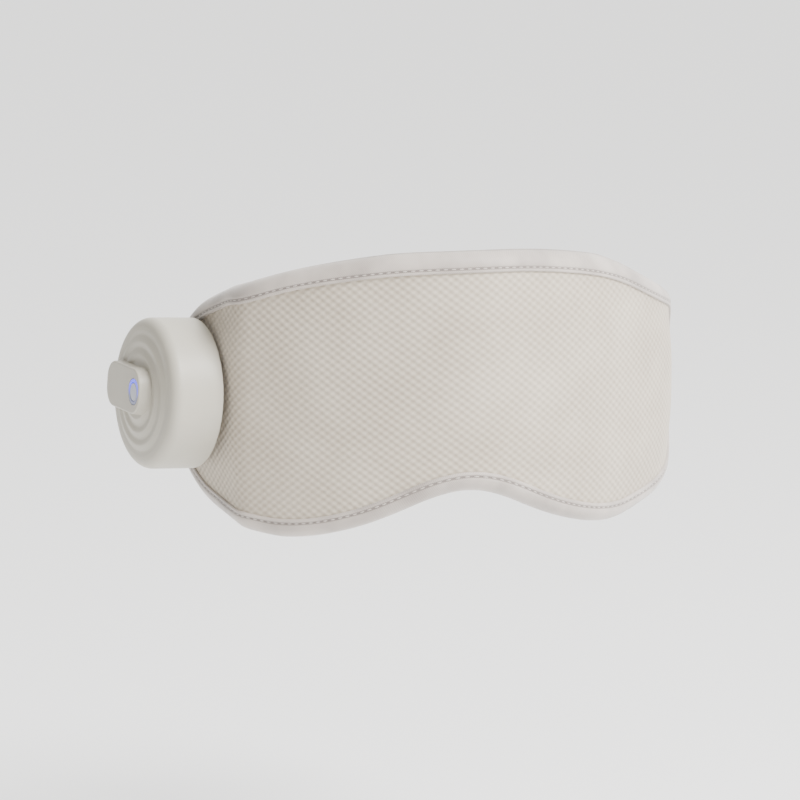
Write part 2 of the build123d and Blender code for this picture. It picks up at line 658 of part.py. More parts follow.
with BuildPart() as contact_pins:
    with BuildSketch(POD.offset(DOCK_TOP)):
        with Locations(*PINS):
            Circle(PIN_RADIUS)
    extrude(amount=BASE - DOCK_TOP - PIN_TRAVEL)
save(contact_pins, "contact_pins")

# ==== dock: the pod's seat, clamped through the front cover ====
with BuildPart() as pad_block:
    extrude(plan_band(0, PAD), amount=REACH, both=True)

with BuildPart() as dock_plate:
    with BuildSketch(POD.offset(DOCK_TOP)):
        Circle(DOCK_RADIUS)
    extrude(amount=-POD_STANDOFF - DOCK_TOP - 2)
    add(pad_block.part, mode=Mode.SUBTRACT)
    with BuildSketch(POD.offset(DOCK_TOP)):
        with PolarLocations(MAGNET_CIRCLE, 4):
            Circle(MAGNET_RADIUS)
    extrude(amount=-DOCK_MAGNET, mode=Mode.SUBTRACT)
    with BuildSketch(POD.offset(DOCK_TOP)):
        with Locations(*PINS):
            Circle(CONTACT_RADIUS)
    extrude(amount=-CONTACT_HEAD, mode=Mode.SUBTRACT)
    with BuildSketch(DOCK_BACK):
        with Locations(*PINS):
            Circle(CONTACT_TAIL)
    extrude(amount=POD_STANDOFF + 1, mode=Mode.SUBTRACT)
    with BuildSketch(DOCK_BACK):
        with PolarLocations(DOCK_SCREW_CIRCLE, 4, start_angle=45):
            Circle(SCREW_RADIUS)
    extrude(amount=DOCK_SCREW, mode=Mode.SUBTRACT)
save(dock_plate, "dock_plate")

with BuildPart() as dock_back_plate:
    with BuildSketch(DOCK_BACK):
        Circle(BACK_RADIUS)
        with PolarLocations(DOCK_SCREW_CIRCLE, 4, start_angle=45):
            Circle(SCREW_RADIUS, mode=Mode.SUBTRACT)
        with Locations(*PINS):
            Circle(CONTACT_TAIL, mode=Mode.SUBTRACT)
    extrude(amount=-BACK_PLATE)
save(dock_back_plate, "dock_back_plate")

with BuildPart() as dock_screws:
    with BuildSketch(DOCK_BACK.offset(-BACK_PLATE)):
        with PolarLocations(DOCK_SCREW_CIRCLE, 4, start_angle=45):
            Circle(SCREW_RADIUS)
    extrude(amount=BACK_PLATE + DOCK_SCREW)
save(dock_screws, "dock_screws")

with BuildPart() as dock_magnets:
    with BuildSketch(POD.offset(DOCK_TOP)):
        with PolarLocations(MAGNET_CIRCLE, 4):
            Circle(MAGNET_RADIUS)
    extrude(amount=-DOCK_MAGNET)
save(dock_magnets, "dock_magnets")

with BuildPart() as dock_contacts:
    with BuildSketch(POD.offset(DOCK_TOP)):
        with Locations(*PINS):
            Circle(CONTACT_RADIUS)
    extrude(amount=-CONTACT_HEAD)
    with BuildSketch(DOCK_BACK.offset(-BACK_PLATE)):
        with Locations(*PINS):
            Circle(CONTACT_TAIL)
    extrude(amount=BACK_PLATE + COVER + POD_STANDOFF + DOCK_TOP - CONTACT_HEAD / 2)
save(dock_contacts, "dock_contacts")

with BuildPart() as dock_wires:
    with BuildSketch(DOCK_BACK.offset(-BACK_PLATE)):
        with Locations(*PINS):
            Circle(CONTACT_TAIL)
    extrude(amount=-(film_near - COVER - LAYER_GAP - BACK_PLATE))
save(dock_wires, "dock_wires")

# ==== strap ====
def strap_part(path):
    """A strap of the strap's own width, standing on its edge along a path in plan."""
    with BuildPart() as band:
        with BuildSketch(Plane.XY.offset(STRAP_Z - STRAP_WIDTH / 2)):
            with BuildLine():
                for edge in path:
                    add(edge)
            trace(line_width=STRAP)
        extrude(amount=STRAP_WIDTH)
    return band


sewn = PAD + BINDING_WALL + SEWN_GAP + STRAP / 2
turn = RING_WIRE + 0.25 + STRAP / 2
loop_starts, loop_leaves = LEFT_END - LOOP_SEWN, LEFT_END - LOOP_LEAVES
loop_end = plan_plane(loop_leaves, 0, sewn)
near_bar = loop_end.origin + loop_end.x_dir * RING_DISTANCE + loop_end.z_dir * turn
far_bar = near_bar + loop_end.x_dir * RING_SPACING
loop_runs = (loop_starts, (loop_starts + loop_leaves) / 2, loop_leaves)
loop_points = [plan_plane(run, 0, sewn).origin for run in loop_runs]

loop_path = [
    ThreePointArc(*loop_points),
    Line(loop_points[2], near_bar - loop_end.z_dir * turn),
    ThreePointArc(
        near_bar - loop_end.z_dir * turn,
        near_bar + loop_end.x_dir * turn,
        near_bar + loop_end.z_dir * turn,
    ),
    Line(
        near_bar + loop_end.z_dir * turn,
        near_bar + loop_end.z_dir * turn - loop_end.x_dir * (RING_DISTANCE - 3),
    ),
]
ring_loop = strap_part(loop_path)
save(ring_loop, "ring_loop")

with BuildPart() as strap_ring:
    middle = (near_bar + far_bar) * 0.5 + Vector(0, 0, STRAP_Z)
    ring_plane = Plane(middle, x_dir=loop_end.x_dir, z_dir=loop_end.z_dir)
    ring_height = STRAP_WIDTH + 2 * RING_ROOM
    with BuildSketch(ring_plane.offset(-RING_WIRE)):
        RectangleRounded(RING_SPACING + 2 * RING_WIRE, ring_height + 4 * RING_WIRE, 2)
        Rectangle(RING_SPACING - 2 * RING_WIRE, ring_height, mode=Mode.SUBTRACT)
    extrude(amount=2 * RING_WIRE)
    fillet(strap_ring.edges().group_by(Axis(middle, loop_end.z_dir))[-1], RING_ROUND)
    fillet(strap_ring.edges().group_by(Axis(middle, loop_end.z_dir))[0], RING_ROUND)
save(strap_ring, "strap_ring")

tail = plan_plane(STRAP_SEWN - RIGHT_END, 0, sewn)
away = -tail.x_dir
layer_pitch = STRAP + 2 * STRAP_CLEAR + SLIDER_WEB
start = tail.origin
inner = far_bar - loop_end.z_dir * turn
outer = far_bar + loop_end.z_dir * turn
right_corner = start + away * ((STRAP_BACK_Y - start.Y) / away.Y)
left_corner = inner + loop_end.x_dir * ((STRAP_BACK_Y - inner.Y) / loop_end.x_dir.Y)
return_corner = left_corner + Vector(layer_pitch, layer_pitch)
return_end = Vector(SLIDER_X - SLIDER_LENGTH / 2 - 1, STRAP_BACK_Y + layer_pitch)
strap_path = [
    FilletPolyline(start, right_corner, left_corner, inner, radius=STRAP_CORNER),
    ThreePointArc(inner, far_bar - loop_end.x_dir * turn, outer),
    FilletPolyline(outer, return_corner, return_end, radius=STRAP_CORNER + layer_pitch),
]
strap_band = strap_part(strap_path)
save(strap_band, "strap_band")

with BuildPart() as strap_slider:
    slot = STRAP + 2 * STRAP_CLEAR
    slider_depth = layer_pitch + slot + 2 * SLIDER_WALL
    slider_middle = (SLIDER_X, STRAP_BACK_Y + layer_pitch / 2, STRAP_Z)
    slider_plane = Plane(slider_middle, x_dir=(0, 1, 0), z_dir=(1, 0, 0))
    with BuildSketch(slider_plane.offset(-SLIDER_LENGTH / 2)):
        RectangleRounded(slider_depth, STRAP_WIDTH + 1 + 2 * SLIDER_WALL, SLIDER_CORNER)
        with Locations((-layer_pitch / 2, 0), (layer_pitch / 2, 0)):
            Rectangle(slot, STRAP_WIDTH + 1, mode=Mode.SUBTRACT)
    extrude(amount=SLIDER_LENGTH)
save(strap_slider, "strap_slider")
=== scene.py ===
import json
import math

import bmesh
import bpy
import numpy as np
from mathutils import Matrix, Vector


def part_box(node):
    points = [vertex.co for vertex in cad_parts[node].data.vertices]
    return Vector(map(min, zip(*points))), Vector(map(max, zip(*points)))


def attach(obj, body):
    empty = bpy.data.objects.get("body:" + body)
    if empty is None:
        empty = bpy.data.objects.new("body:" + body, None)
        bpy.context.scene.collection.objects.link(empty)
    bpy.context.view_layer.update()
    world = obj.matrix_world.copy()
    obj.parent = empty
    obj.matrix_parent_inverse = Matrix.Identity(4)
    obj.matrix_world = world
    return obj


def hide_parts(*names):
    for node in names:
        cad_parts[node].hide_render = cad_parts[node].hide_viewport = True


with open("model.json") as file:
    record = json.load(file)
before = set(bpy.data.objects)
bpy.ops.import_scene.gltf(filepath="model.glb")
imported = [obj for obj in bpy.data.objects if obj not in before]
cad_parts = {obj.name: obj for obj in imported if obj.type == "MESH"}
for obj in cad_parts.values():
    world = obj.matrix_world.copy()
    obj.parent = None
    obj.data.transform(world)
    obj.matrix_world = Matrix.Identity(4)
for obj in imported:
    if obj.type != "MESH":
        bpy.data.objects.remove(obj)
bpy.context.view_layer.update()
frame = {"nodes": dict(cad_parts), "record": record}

MM = 0.001

# ---- camera ----
AZIMUTH, ELEVATION = math.radians(15.27), math.radians(9.82)
DISTANCE, FOCAL_LENGTH = 1.2, 163.9
TARGET = Vector((-0.01432, 0.0232, -0.00506))
camera = bpy.data.objects.new("camera", bpy.data.cameras.new("camera"))
bpy.context.scene.collection.objects.link(camera)
camera.data.lens = FOCAL_LENGTH
back = Vector((-math.sin(AZIMUTH), -math.cos(AZIMUTH), math.tan(ELEVATION))).normalized()
camera.location = TARGET + back * DISTANCE
camera.rotation_euler = (-back).to_track_quat("-Z", "Y").to_euler()
camera.data.clip_start, camera.data.clip_end = 0.05, 20
bpy.context.scene.camera = camera

# ---- pad's plan line: arcs of (radius, length) in mm from the nose outwards, None for straight ----
PAD = 11.8  # thickness, from the outer face to the skin side
LEFT_LINE = ((50, 12), (125, 86), (62, 37))
RIGHT_LINE = ((50, 12), (120, 63), (15, 8.75), (None, 51.25))
LEFT_END = sum(length for _, length in LEFT_LINE)
RIGHT_END = -sum(length for _, length in RIGHT_LINE)
BEFORE_BEND = RIGHT_LINE[0][1] + RIGHT_LINE[1][1] - 0.2


def plan_point(run, depth):
    """Place in plan of a run along the pad, at a depth behind its outer face, mm."""
    side = 1 if run >= 0 else -1
    x, y, heading, left = 0.0, -PAD + depth, 0.0, abs(run)
    for radius, length in LEFT_LINE if side > 0 else RIGHT_LINE:
        step = min(left, length)
        left -= step
        if radius is None:
            x, y = x + math.cos(heading) * step, y + math.sin(heading) * step
            continue
        turned = heading + step / radius
        arc = radius - depth
        x += (math.sin(turned) - math.sin(heading)) * arc
        y += (math.cos(heading) - math.cos(turned)) * arc
        heading = turned
    return side * x, y


def on_pad(run, height, depth):
    """Point in metres at a run, a height and a depth behind the outer face."""
    return Vector((*plan_point(run, depth), height)) * MM


def smooth_step(t):
    """Eased share, 0 at 0 and 1 at 1."""
    t = min(max(t, 0.0), 1.0)
    return t * t * (3 - 2 * t)


# ---- rim of the pad, taken from the CAD nodes ----
LINE_STEP = 0.2
COVER_MIDDLE = 0.5  # depth of the middle of each cloth
RIM_GAP = 0.55  # from the cloths' edge to the tape's outside
RIM_SMOOTHING = 3


def unrolled(node, depth):
    """A layer's vertices as (run, height) in mm, and its edges."""
    mesh = frame["nodes"][node].data
    co = np.array([v.co for v in mesh.vertices]) / MM
    runs = np.arange(RIGHT_END, LEFT_END, LINE_STEP)
    line = np.array([plan_point(r, depth) for r in runs])
    near = [runs[np.argmin(((line - p[:2]) ** 2).sum(1))] for p in co]
    edges = np.array([tuple(e.vertices) for e in mesh.edges])
    return np.column_stack([near, co[:, 2]]), edges


def reach(flat, origin, heading):
    """Farthest crossing of a ray with a layer's edges."""
    points, edges = flat
    a, b = points[edges[:, 0]] - origin, points[edges[:, 1]] - origin
    d = np.array(heading)
    side_a = a[:, 0] * d[1] - a[:, 1] * d[0]
    side_b = b[:, 0] * d[1] - b[:, 1] * d[0]
    crossing = (side_a * side_b <= 0) & (side_a != side_b)
    t = side_a[crossing] / (side_a[crossing] - side_b[crossing])
    hit = a[crossing] + (b[crossing] - a[crossing]) * t[:, None]
    return (hit @ d).max()


# rays go from a spine midway between the top and the bottom rim, and fan out at its two ends
SPINE_END, SPINE_STEPS, FAN_STEPS = 104, 150, 44
SPINE_SMOOTHING = 6
front_flat = unrolled("front_cover", COVER_MIDDLE)
back_flat = unrolled("inner_lining", PAD - COVER_MIDDLE)


def midway(run):
    """Height halfway between the pad's top and bottom at a run."""
    origin = np.array((run, 0.0))
    return (reach(front_flat, origin, (0, 1)) - reach(front_flat, origin, (0, -1))) / 2


spine_runs = np.linspace(-SPINE_END, SPINE_END, SPINE_STEPS + 1)
spine_height = np.pad([midway(run) for run in spine_runs], SPINE_SMOOTHING, mode="edge")
window = 2 * SPINE_SMOOTHING + 1
spine_height = np.convolve(spine_height, np.ones(window) / window, "valid")
rays = [(r, h, 90.0) for r, h in zip(spine_runs, spine_height)]
rays += [(SPINE_END, spine_height[-1], 90 - 180 * i / FAN_STEPS) for i in range(1, FAN_STEPS)]
rays += [(r, h, -90.0) for r, h in zip(spine_runs[::-1], spine_height[::-1])]
rays += [(-SPINE_END, spine_height[0], -90 - 180 * i / FAN_STEPS) for i in range(1, FAN_STEPS)]
rays.append(rays[0])
SPINE = np.array([r[:2] for r in rays])


def rim_of(flat):
    """Outline as points and inward normals, one for each ray."""
    outline = []
    for run, height, angle in rays:
        heading = np.array((math.cos(math.radians(angle)), math.sin(math.radians(angle))))
        origin = np.array((run, height))
        outline.append(origin + heading * (reach(flat, origin, heading) + RIM_GAP))
    outline = np.array(outline[:-1])
    for _ in range(RIM_SMOOTHING):
        outline = (np.roll(outline, 1, 0) + 2 * outline + np.roll(outline, -1, 0)) / 4
    tangent = np.roll(outline, -1, 0) - np.roll(outline, 1, 0)
    tangent /= np.linalg.norm(tangent, axis=1)[:, None]
    inward = np.column_stack([tangent[:, 1], -tangent[:, 0]])
    outline, inward = np.vstack([outline, outline[:1]]), np.vstack([inward, inward[:1]])
    return outline, inward


FRONT_RIM, BACK_RIM = rim_of(front_flat), rim_of(back_flat)
STEPS = len(rays) - 1
rim_steps = np.linalg.norm(np.diff(FRONT_RIM[0], axis=0), axis=1)
RIM_LENGTH = np.concatenate([[0], np.cumsum(rim_steps)])


def in_rim(i, inset, depth):
    """(run, height) at a ray, an inset from the rim and a depth."""
    share = min(max(depth / PAD, 0), 1)
    edge = FRONT_RIM[0][i] * (1 - share) + BACK_RIM[0][i] * share
    return edge + FRONT_RIM[1][i] * inset


# ---- making pieces ----
def make_piece(name, bm, materials, body, stands_for=()):
    """Turns a finished bmesh into a smooth piece riding on a body."""
    mesh = bpy.data.meshes.new(name)
    for face in bm.faces:
        face.smooth = True
    bm.to_mesh(mesh)
    bm.free()
    piece = bpy.data.objects.new(name, mesh)
    bpy.context.scene.collection.objects.link(piece)
    for material in materials:
        mesh.materials.append(material)
    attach(piece, body)
    if stands_for:
        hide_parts(*stands_for)
    return piece


def shaped_grid(columns, rows, place, chart, tint=None):
    """A grid whose corners are put in place by (column, row), closed where they meet.

    place gives the point in metres and chart the pattern's coordinates in mm."""
    bm = bmesh.new()
    bmesh.ops.create_grid(bm, x_segments=columns, y_segments=rows, size=0.5)
    index = {
        v: (round((v.co.x + 0.5) * columns), round((v.co.y + 0.5) * rows)) for v in bm.verts
    }
    uv = bm.loops.layers.uv.new("chart")
    for face in bm.faces:
        for loop in face.loops:
            loop[uv].uv = chart(*index[loop.vert])
        if tint:
            face.material_index = tint(*[min(index[v][k] for v in face.verts) for k in (0, 1)])
    for v in bm.verts:
        v.co = place(*index[v])
    bmesh.ops.remove_doubles(bm, verts=bm.verts, dist=1e-6)
    bmesh.ops.dissolve_degenerate(bm, dist=1e-7, edges=bm.edges)
    bmesh.ops.recalc_face_normals(bm, faces=bm.faces)
    return bm


# ---- finishes: colours in sRGB, pitches in mm on a piece's chart ----
SEAM = 5.35  # inset of the binding's stitches from the rim
BACK_CHART = 20  # the tape's chart goes back down from here on the skin side


def linear(colour):
    """Scene colour of an sRGB colour given 0 to 255."""
    steps = [c / 255 for c in colour]
    return tuple(c / 12.92 if c <= 0.04045 else ((c + 0.055) / 1.055) ** 2.4 for c in steps) + (1,)


class Finish:
    """A material under construction: short calls for the nodes it needs."""

    def __init__(self, name, roughness, **sockets):
        self.material = bpy.data.materials.new(name)
        self.material.use_nodes = True
        self.tree = self.material.node_tree
        self.shader = self.tree.nodes["Principled BSDF"]
        self.shader.inputs["Roughness"].default_value = roughness
        for socket, value in sockets.items():
            self.shader.inputs[socket.replace("_", " ")].default_value = value
        self.coords = self.tree.nodes.new("ShaderNodeTexCoord")

    def node(self, kind, **values):
        """A new node with some of its settings."""
        made = self.tree.nodes.new(kind)
        for key, value in values.items():
            setattr(made, key, value)
        return made

    def link(self, a, b):
        """Joins an output to an input."""
        self.tree.links.new(a, b)

    def maths(self, operation, a, b=None):
        """Result of a sum on outputs or plain numbers."""
        made = self.node("ShaderNodeMath", operation=operation)
        for socket, value in zip(made.inputs, (a, b)):
            if isinstance(value, (int, float)):
                socket.default_value = value
            elif value is not None:
                self.link(value, socket)
        return made.outputs[0]

    def axes(self, source):
        """The three parts of the Object or UV coordinates."""
        parts = self.node("ShaderNodeSeparateXYZ")
        self.link(self.coords.outputs[source], parts.inputs[0])
        return parts.outputs

    def noise(self, scale, detail):
        """Cloudy pattern fixed to the piece."""
        made = self.node("ShaderNodeTexNoise")
        made.inputs["Scale"].default_value = scale
        made.inputs["Detail"].default_value = detail
        self.link(self.coords.outputs["Object"], made.inputs["Vector"])
        return made.outputs["Fac"]

    def colour(self, factor, low, high, low_at=0.0, high_at=1.0):
        """Base colour that goes from low to high as the factor goes from low_at to high_at."""
        ramp = self.node("ShaderNodeValToRGB")
        first, last = ramp.color_ramp.elements
        first.color, last.color = linear(low), linear(high)
        first.position, last.position = low_at, high_at
        self.link(factor, ramp.inputs[0])
        self.link(ramp.outputs[0], self.shader.inputs["Base Color"])
        return ramp.outputs[0]

    def bump(self, height, distance, strength=1.0):
        """Relief of a height pattern, its full height a distance in metres."""
        made = self.node("ShaderNodeBump")
        made.inputs["Strength"].default_value = strength
        made.inputs["Distance"].default_value = distance
        self.link(height, made.inputs["Height"])
        self.link(made.outputs[0], self.shader.inputs["Normal"])


def weave(name, low, high, across, along, arch=0.0, relief=0.25):
    """Cloth with a staggered lattice of raised stitches, on the piece's own chart in mm."""
    f = Finish(name, 0.8, Sheen_Weight=0.15, Specular_IOR_Level=0.25)
    u, v, _ = f.axes("UV")
    if arch:
        v = f.maths("ADD", v, f.maths("MULTIPLY", f.maths("MULTIPLY", u, u), arch))
    wave_u = f.maths("COSINE", f.maths("MULTIPLY", u, 2 * math.pi / across))
    wave_v = f.maths("COSINE", f.maths("MULTIPLY", v, math.pi / along))
    lattice = f.maths("MULTIPLY_ADD", f.maths("MULTIPLY", wave_u, wave_v), 0.5)
    lattice.node.inputs[2].default_value = 0.5
    mottle = f.noise(55, 3)
    fuzz = f.noise(2600, 1)
    tone = f.maths("ADD", f.maths("MULTIPLY", lattice, 0.45), f.maths("MULTIPLY", mottle, 0.5))
    f.colour(tone, low, high, 0.15, 0.8)
    f.bump(f.maths("ADD", lattice, f.maths("MULTIPLY", fuzz, 0.25)), relief * MM)
    return f.material


def twill(name, low, high, pitch, slope, roughness=0.5, groove_shade_lines=()):
    """Tape or thread with fine slanted ribs, on the piece's own chart in mm, with painted shade darkening
    the stitched grooves of its seams.
    """
    f = Finish(name, roughness, Sheen_Weight=0.3, Specular_IOR_Level=0.35)
    u, v, _ = f.axes("UV")
    slanted = f.maths("ADD", u, f.maths("MULTIPLY", v, slope))
    ribs = f.maths("SINE", f.maths("MULTIPLY", slanted, 2 * math.pi / pitch))
    mottle = f.noise(70, 3)
    puckers = f.noise(260, 2)
    tone = f.maths("ADD", f.maths("MULTIPLY", ribs, 0.12), mottle)
    # painted shade: the colour is darkened within 0.6 mm of each stitched groove, where the stitches pull
    # the tape in
    for groove_shade_line in groove_shade_lines:
        away = f.maths("ABSOLUTE", f.maths("SUBTRACT", v, groove_shade_line))
        shade = f.maths("SUBTRACT", 0.9, f.maths("MULTIPLY", away, 1.5))
        tone = f.maths("SUBTRACT", tone, f.maths("MAXIMUM", shade, 0.0))
    f.colour(tone, low, high, 0.0, 0.75)
    f.bump(f.maths("ADD", f.maths("MULTIPLY", ribs, 0.3), f.maths("MULTIPLY", puckers, 2.0)), 0.05 * MM)
    return f.material


def moulded(name, low, high, roughness=0.42, grain=900, relief=0.02, **sockets):
    """Moulded plastic, foil or plated metal: a soft mottle and a fine grain."""
    f = Finish(name, roughness, **sockets)
    f.colour(f.noise(28, 3), low, high, 0.3, 0.7)
    f.bump(f.noise(grain, 2), relief * MM, 0.6)
    return f.material


knit = weave("embossed_knit", (160, 148, 132), (194, 184, 168), 3.5, 1.3, arch=0.00035, relief=0.3)
lining_cloth = weave("lining_knit", (172, 164, 152), (196, 189, 178), 1.3, 0.7, relief=0.1)
cushion_cloth = weave("cushion_knit", (178, 170, 158), (202, 195, 184), 1.6, 0.8, relief=0.12)
# painted shade along the tape's two stitched grooves, front and back
tape = twill("binding_tape", (122, 113, 107), (188, 178, 169), 0.7, 1.0, groove_shade_lines=(SEAM, BACK_CHART - SEAM))
thread = twill("stitch_thread", (176, 167, 158), (200, 192, 183), 0.3, 0.6, roughness=0.6)
webbing = weave("strap_webbing", (176, 168, 157), (204, 197, 186), 1.8, 1.0, relief=0.2)
FINISHES = {
    "pod_plastic": moulded("pod_plastic", (165, 160, 147), (173, 168, 155), 0.45),
    "key_plastic": moulded("key_plastic", (150, 153, 166), (168, 170, 182), 0.3),
    "housing_plastic": moulded("housing_plastic", (186, 186, 183), (196, 196, 193), 0.5),
    "buckle_plastic": moulded("buckle_plastic", (180, 175, 163), (190, 185, 173), 0.4),
    "board": moulded("board_mask", (18, 78, 48), (24, 92, 58), 0.35, grain=1500),
    "chip_plastic": moulded("chip_plastic", (22, 22, 24), (34, 34, 36), 0.55),
    "motor_steel": moulded("drawn_steel", (168, 168, 170), (190, 190, 192), 0.3, Metallic=1.0),
    "screw_steel": moulded("screw_steel", (120, 120, 124), (150, 150, 154), 0.35, Metallic=1.0),
    "magnet": moulded("magnet_plate", (190, 190, 192), (206, 206, 208), 0.2, Metallic=1.0),
    "contact_gold": moulded("contact_gold", (205, 165, 88), (224, 188, 112), 0.25, Metallic=1.0),
    "battery_foil": moulded("battery_foil", (176, 178, 180), (196, 198, 200), 0.35, Metallic=0.9),
    "heater_film": moulded("heater_film", (172, 116, 52), (192, 134, 66), 0.35),
    "foam": moulded("open_foam", (216, 213, 204), (230, 228, 220), 0.9, grain=700, relief=0.3),
    "knit_fabric": knit,
    "lining_fabric": lining_cloth,
    "cushion_fabric": cushion_cloth,
    "binding_tape": tape,
    "strap_webbing": webbing,
}


def ring_light():
    """Clear plastic round the key: it glows blue, most at its upper side."""
    low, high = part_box("light_ring")
    f = Finish("ring_light", 0.3)
    rise = f.node("ShaderNodeMapRange")
    rise.inputs["From Min"].default_value, rise.inputs["From Max"].default_value = low.z, high.z
    f.link(f.axes("Object")[2], rise.inputs["Value"])
    glow = f.colour(rise.outputs[0], (92, 96, 122), (84, 84, 255), 0.35, 0.8)
    f.link(glow, f.shader.inputs["Emission Color"])
    f.shader.inputs["Emission Strength"].default_value = 0.9
    return f.material


FINISHES["light_plastic"] = ring_light()

slots = {part["node"]: part["material_slot"] for part in frame["record"]["subparts"]}
for name, node in frame["nodes"].items():
    node.data.materials.clear()
    node.data.materials.append(FINISHES[slots[name]])

# ---- padded body: knit front, soft rim, lining behind ----
FACE_ROWS = 26  # from the spine to the tape, on each face
RIM_PROFILE = [  # inset from the rim, depth
    (7.0, 1.5), (5.6, 1.65), (4.2, 2.0), (2.9, 2.6), (1.9, 3.55), (1.35, 4.7), (1.25, 5.9),
    (1.35, 7.1), (1.9, 8.25), (2.9, 9.2), (4.2, 9.85), (5.6, 10.5), (7.0, 11.2),
]
BODY_ROWS = 2 * FACE_ROWS + len(RIM_PROFILE) - 1
FACE_SAG, FACE_SPREAD = 1.5, 20
LINING_SAG, LINING_SPREAD = 0.6, 4
SWELL, SWELL_RUN, SWELL_Z, SWELL_WIDE, SWELL_HIGH = 0.5, 42, 4, 30, 26


def rolled_back(distance, sag, spread):
    """How far the cloth sits back near the tape: a sag in mm, over a spread in mm."""
    return sag * (1 - smooth_step(distance / spread)) ** 1.5


def crown(run, height, distance):
    """Depth of the face: it rolls back into the seam and swells a little over the eyes."""
    off_run, off_z = (abs(run) - SWELL_RUN) / SWELL_WIDE, (height - SWELL_Z) / SWELL_HIGH
    return rolled_back(distance, FACE_SAG, FACE_SPREAD) - SWELL * math.exp(-(off_run**2) - off_z**2)


def body_chart(i, j):
    """(run, height, depth) of a corner: the face's rows, those round the rim, then the lining's."""
    first, last = FACE_ROWS, FACE_ROWS + len(RIM_PROFILE) - 1
    if first <= j <= last:
        inset, depth = RIM_PROFILE[j - first]
        run, height = in_rim(i, inset, depth)
        return run, height, depth
    front = j < first
    t = (j if front else BODY_ROWS - j) / FACE_ROWS
    inset, depth = RIM_PROFILE[0] if front else RIM_PROFILE[-1]
    edge = in_rim(i, inset, depth)
    run, height = SPINE[i] * (1 - t) + edge * t
    distance = np.linalg.norm(edge - np.array((run, height)))
    if front:
        return run, height, crown(run, height, distance)
    return run, height, PAD - rolled_back(distance, LINING_SAG, LINING_SPREAD)


def body_place(i, j):
    """Point in metres of a corner of the padded body."""
    return on_pad(*body_chart(i, j))


def body_tint(i, j):
    """Knit in front, lining from the middle of the rim on."""
    return 1 if j >= FACE_ROWS + len(RIM_PROFILE) // 2 else 0


def body_pattern(i, j):
    """The knit runs along the pad, unrolled."""
    return body_chart(i, j)[:2]


padded_body = make_piece(
    "padded_body", shaped_grid(STEPS, BODY_ROWS, body_place, body_pattern, body_tint),
    [knit, lining_cloth], "mask", ("front_cover", "foam_pad", "inner_lining"),
)

# ---- binding: satin tape folded over the rim, with its rows of stitches ----
PUCKER, PUCKER_SPAN = 0.12, 2
TAPE_OUTSIDE = [
    (6.75, 1.42), (6.7, 1.0), (6.35, 0.76), (5.85, 0.8), (5.35, 1.16), (4.85, 0.88), (4.1, 0.93),
    (2.9, 1.4), (1.7, 2.2), (0.75, 3.3), (0.2, 4.5), (0.0, 5.9),
]
TAPE_INSIDE = [
    (6.75, 1.62), (5.35, 1.8), (4.1, 2.1), (2.9, 2.7), (1.9, 3.65), (1.4, 4.75), (1.3, 5.9),
]


def folded(profile):
    """A half section with its mirror image on the skin side."""
    return profile + [(inset, PAD - depth) for inset, depth in profile[-2::-1]]


TAPE_PROFILE = folded(TAPE_OUTSIDE) + folded(TAPE_INSIDE)[::-1]
TAPE_PROFILE.append(TAPE_PROFILE[0])
puckers = np.random.default_rng(7).normal(0, 1, STEPS)
puckers = sum(np.roll(puckers, k) for k in range(-PUCKER_SPAN, PUCKER_SPAN + 1)) / (2 * PUCKER_SPAN + 1)
puckers = np.append(puckers, puckers[0])


def tape_place(i, j):
    """Point in metres of a corner of the tape, puckered between its edge and the fold."""
    inset, depth = TAPE_PROFILE[j]
    run, height = in_rim(i, inset, depth)
    lift = PUCKER * puckers[i] if 2 < inset < 6 else 0
    return on_pad(run, height, depth + (lift if depth < PAD / 2 else -lift))


def tape_pattern(i, j):
    """Length along the rim, and the inset from it."""
    inset, depth = TAPE_PROFILE[j]
    return RIM_LENGTH[i], inset if depth < PAD / 2 else BACK_CHART - inset


binding = make_piece(
    "edge_binding_tape", shaped_grid(STEPS, len(TAPE_PROFILE) - 1, tape_place, tape_pattern),
    [tape], "mask", ("edge_binding",),
)

STITCH, STITCH_PITCH, STITCH_RADIUS, STITCH_DEPTH = 1.7, 2.7, 0.2, 1.05


def on_seam(along, depth):
    """Point in metres on the row of stitches, a length along the rim."""
    i = np.interp(along % RIM_LENGTH[-1], RIM_LENGTH, np.arange(STEPS + 1))
    before = int(min(i, STEPS - 1))
    mix = i - before
    run, height = in_rim(before, SEAM, depth) * (1 - mix) + in_rim(before + 1, SEAM, depth) * mix
    return on_pad(run, height, depth)


def add_stitch(bm, start, end):
    """A bead of thread drawn out between two points."""
    way = end - start
    turn = way.to_track_quat("X", "Z").to_matrix().to_4x4()
    grow = Matrix.Diagonal((way.length / 2 / (STITCH_RADIUS * MM), 1, 1, 1))
    place = Matrix.Translation((start + end) / 2) @ turn @ grow
    bmesh.ops.create_icosphere(bm, subdivisions=1, radius=STITCH_RADIUS * MM, matrix=place)


stitch_mesh = bmesh.new()
stitch_mesh.loops.layers.uv.new("chart")
stitch_count = round(RIM_LENGTH[-1] / STITCH_PITCH)
for depth in (STITCH_DEPTH, PAD - STITCH_DEPTH):
    for k in range(stitch_count):
        along = k * RIM_LENGTH[-1] / stitch_count
        add_stitch(stitch_mesh, on_seam(along, depth), on_seam(along + STITCH, depth))
stitches = make_piece("binding_stitches", stitch_mesh, [thread], "mask")

# ---- cushions on the skin side ----
SKIN = PAD + 0.05
CUSHION_X, CUSHION_Z = 38, -5
CUP_X, CUP_Z, CUP_CORNER, CUSHION_WALL = 19, 13, 12, 7.9  # half sizes of the cup inside the ring
CUSHION_STEPS, CHART_ROW = 96, 4
CUSHION_REACH = 66  # the right cushion is drawn in so that this X stays short of the bend
CUSHION_ROWS = [  # share of the way from the outside to the cup, height off the lining
    (0.0, 0.3), (-0.02, 1.8), (0.01, 3.4), (0.09, 5.0), (0.22, 6.3), (0.4, 6.95), (0.58, 6.85),
    (0.76, 6.1), (0.9, 4.8), (0.98, 3.2), (1.01, 1.6), (1.0, 0.3), (0.5, 0.1), (0.0, 0.3),
]


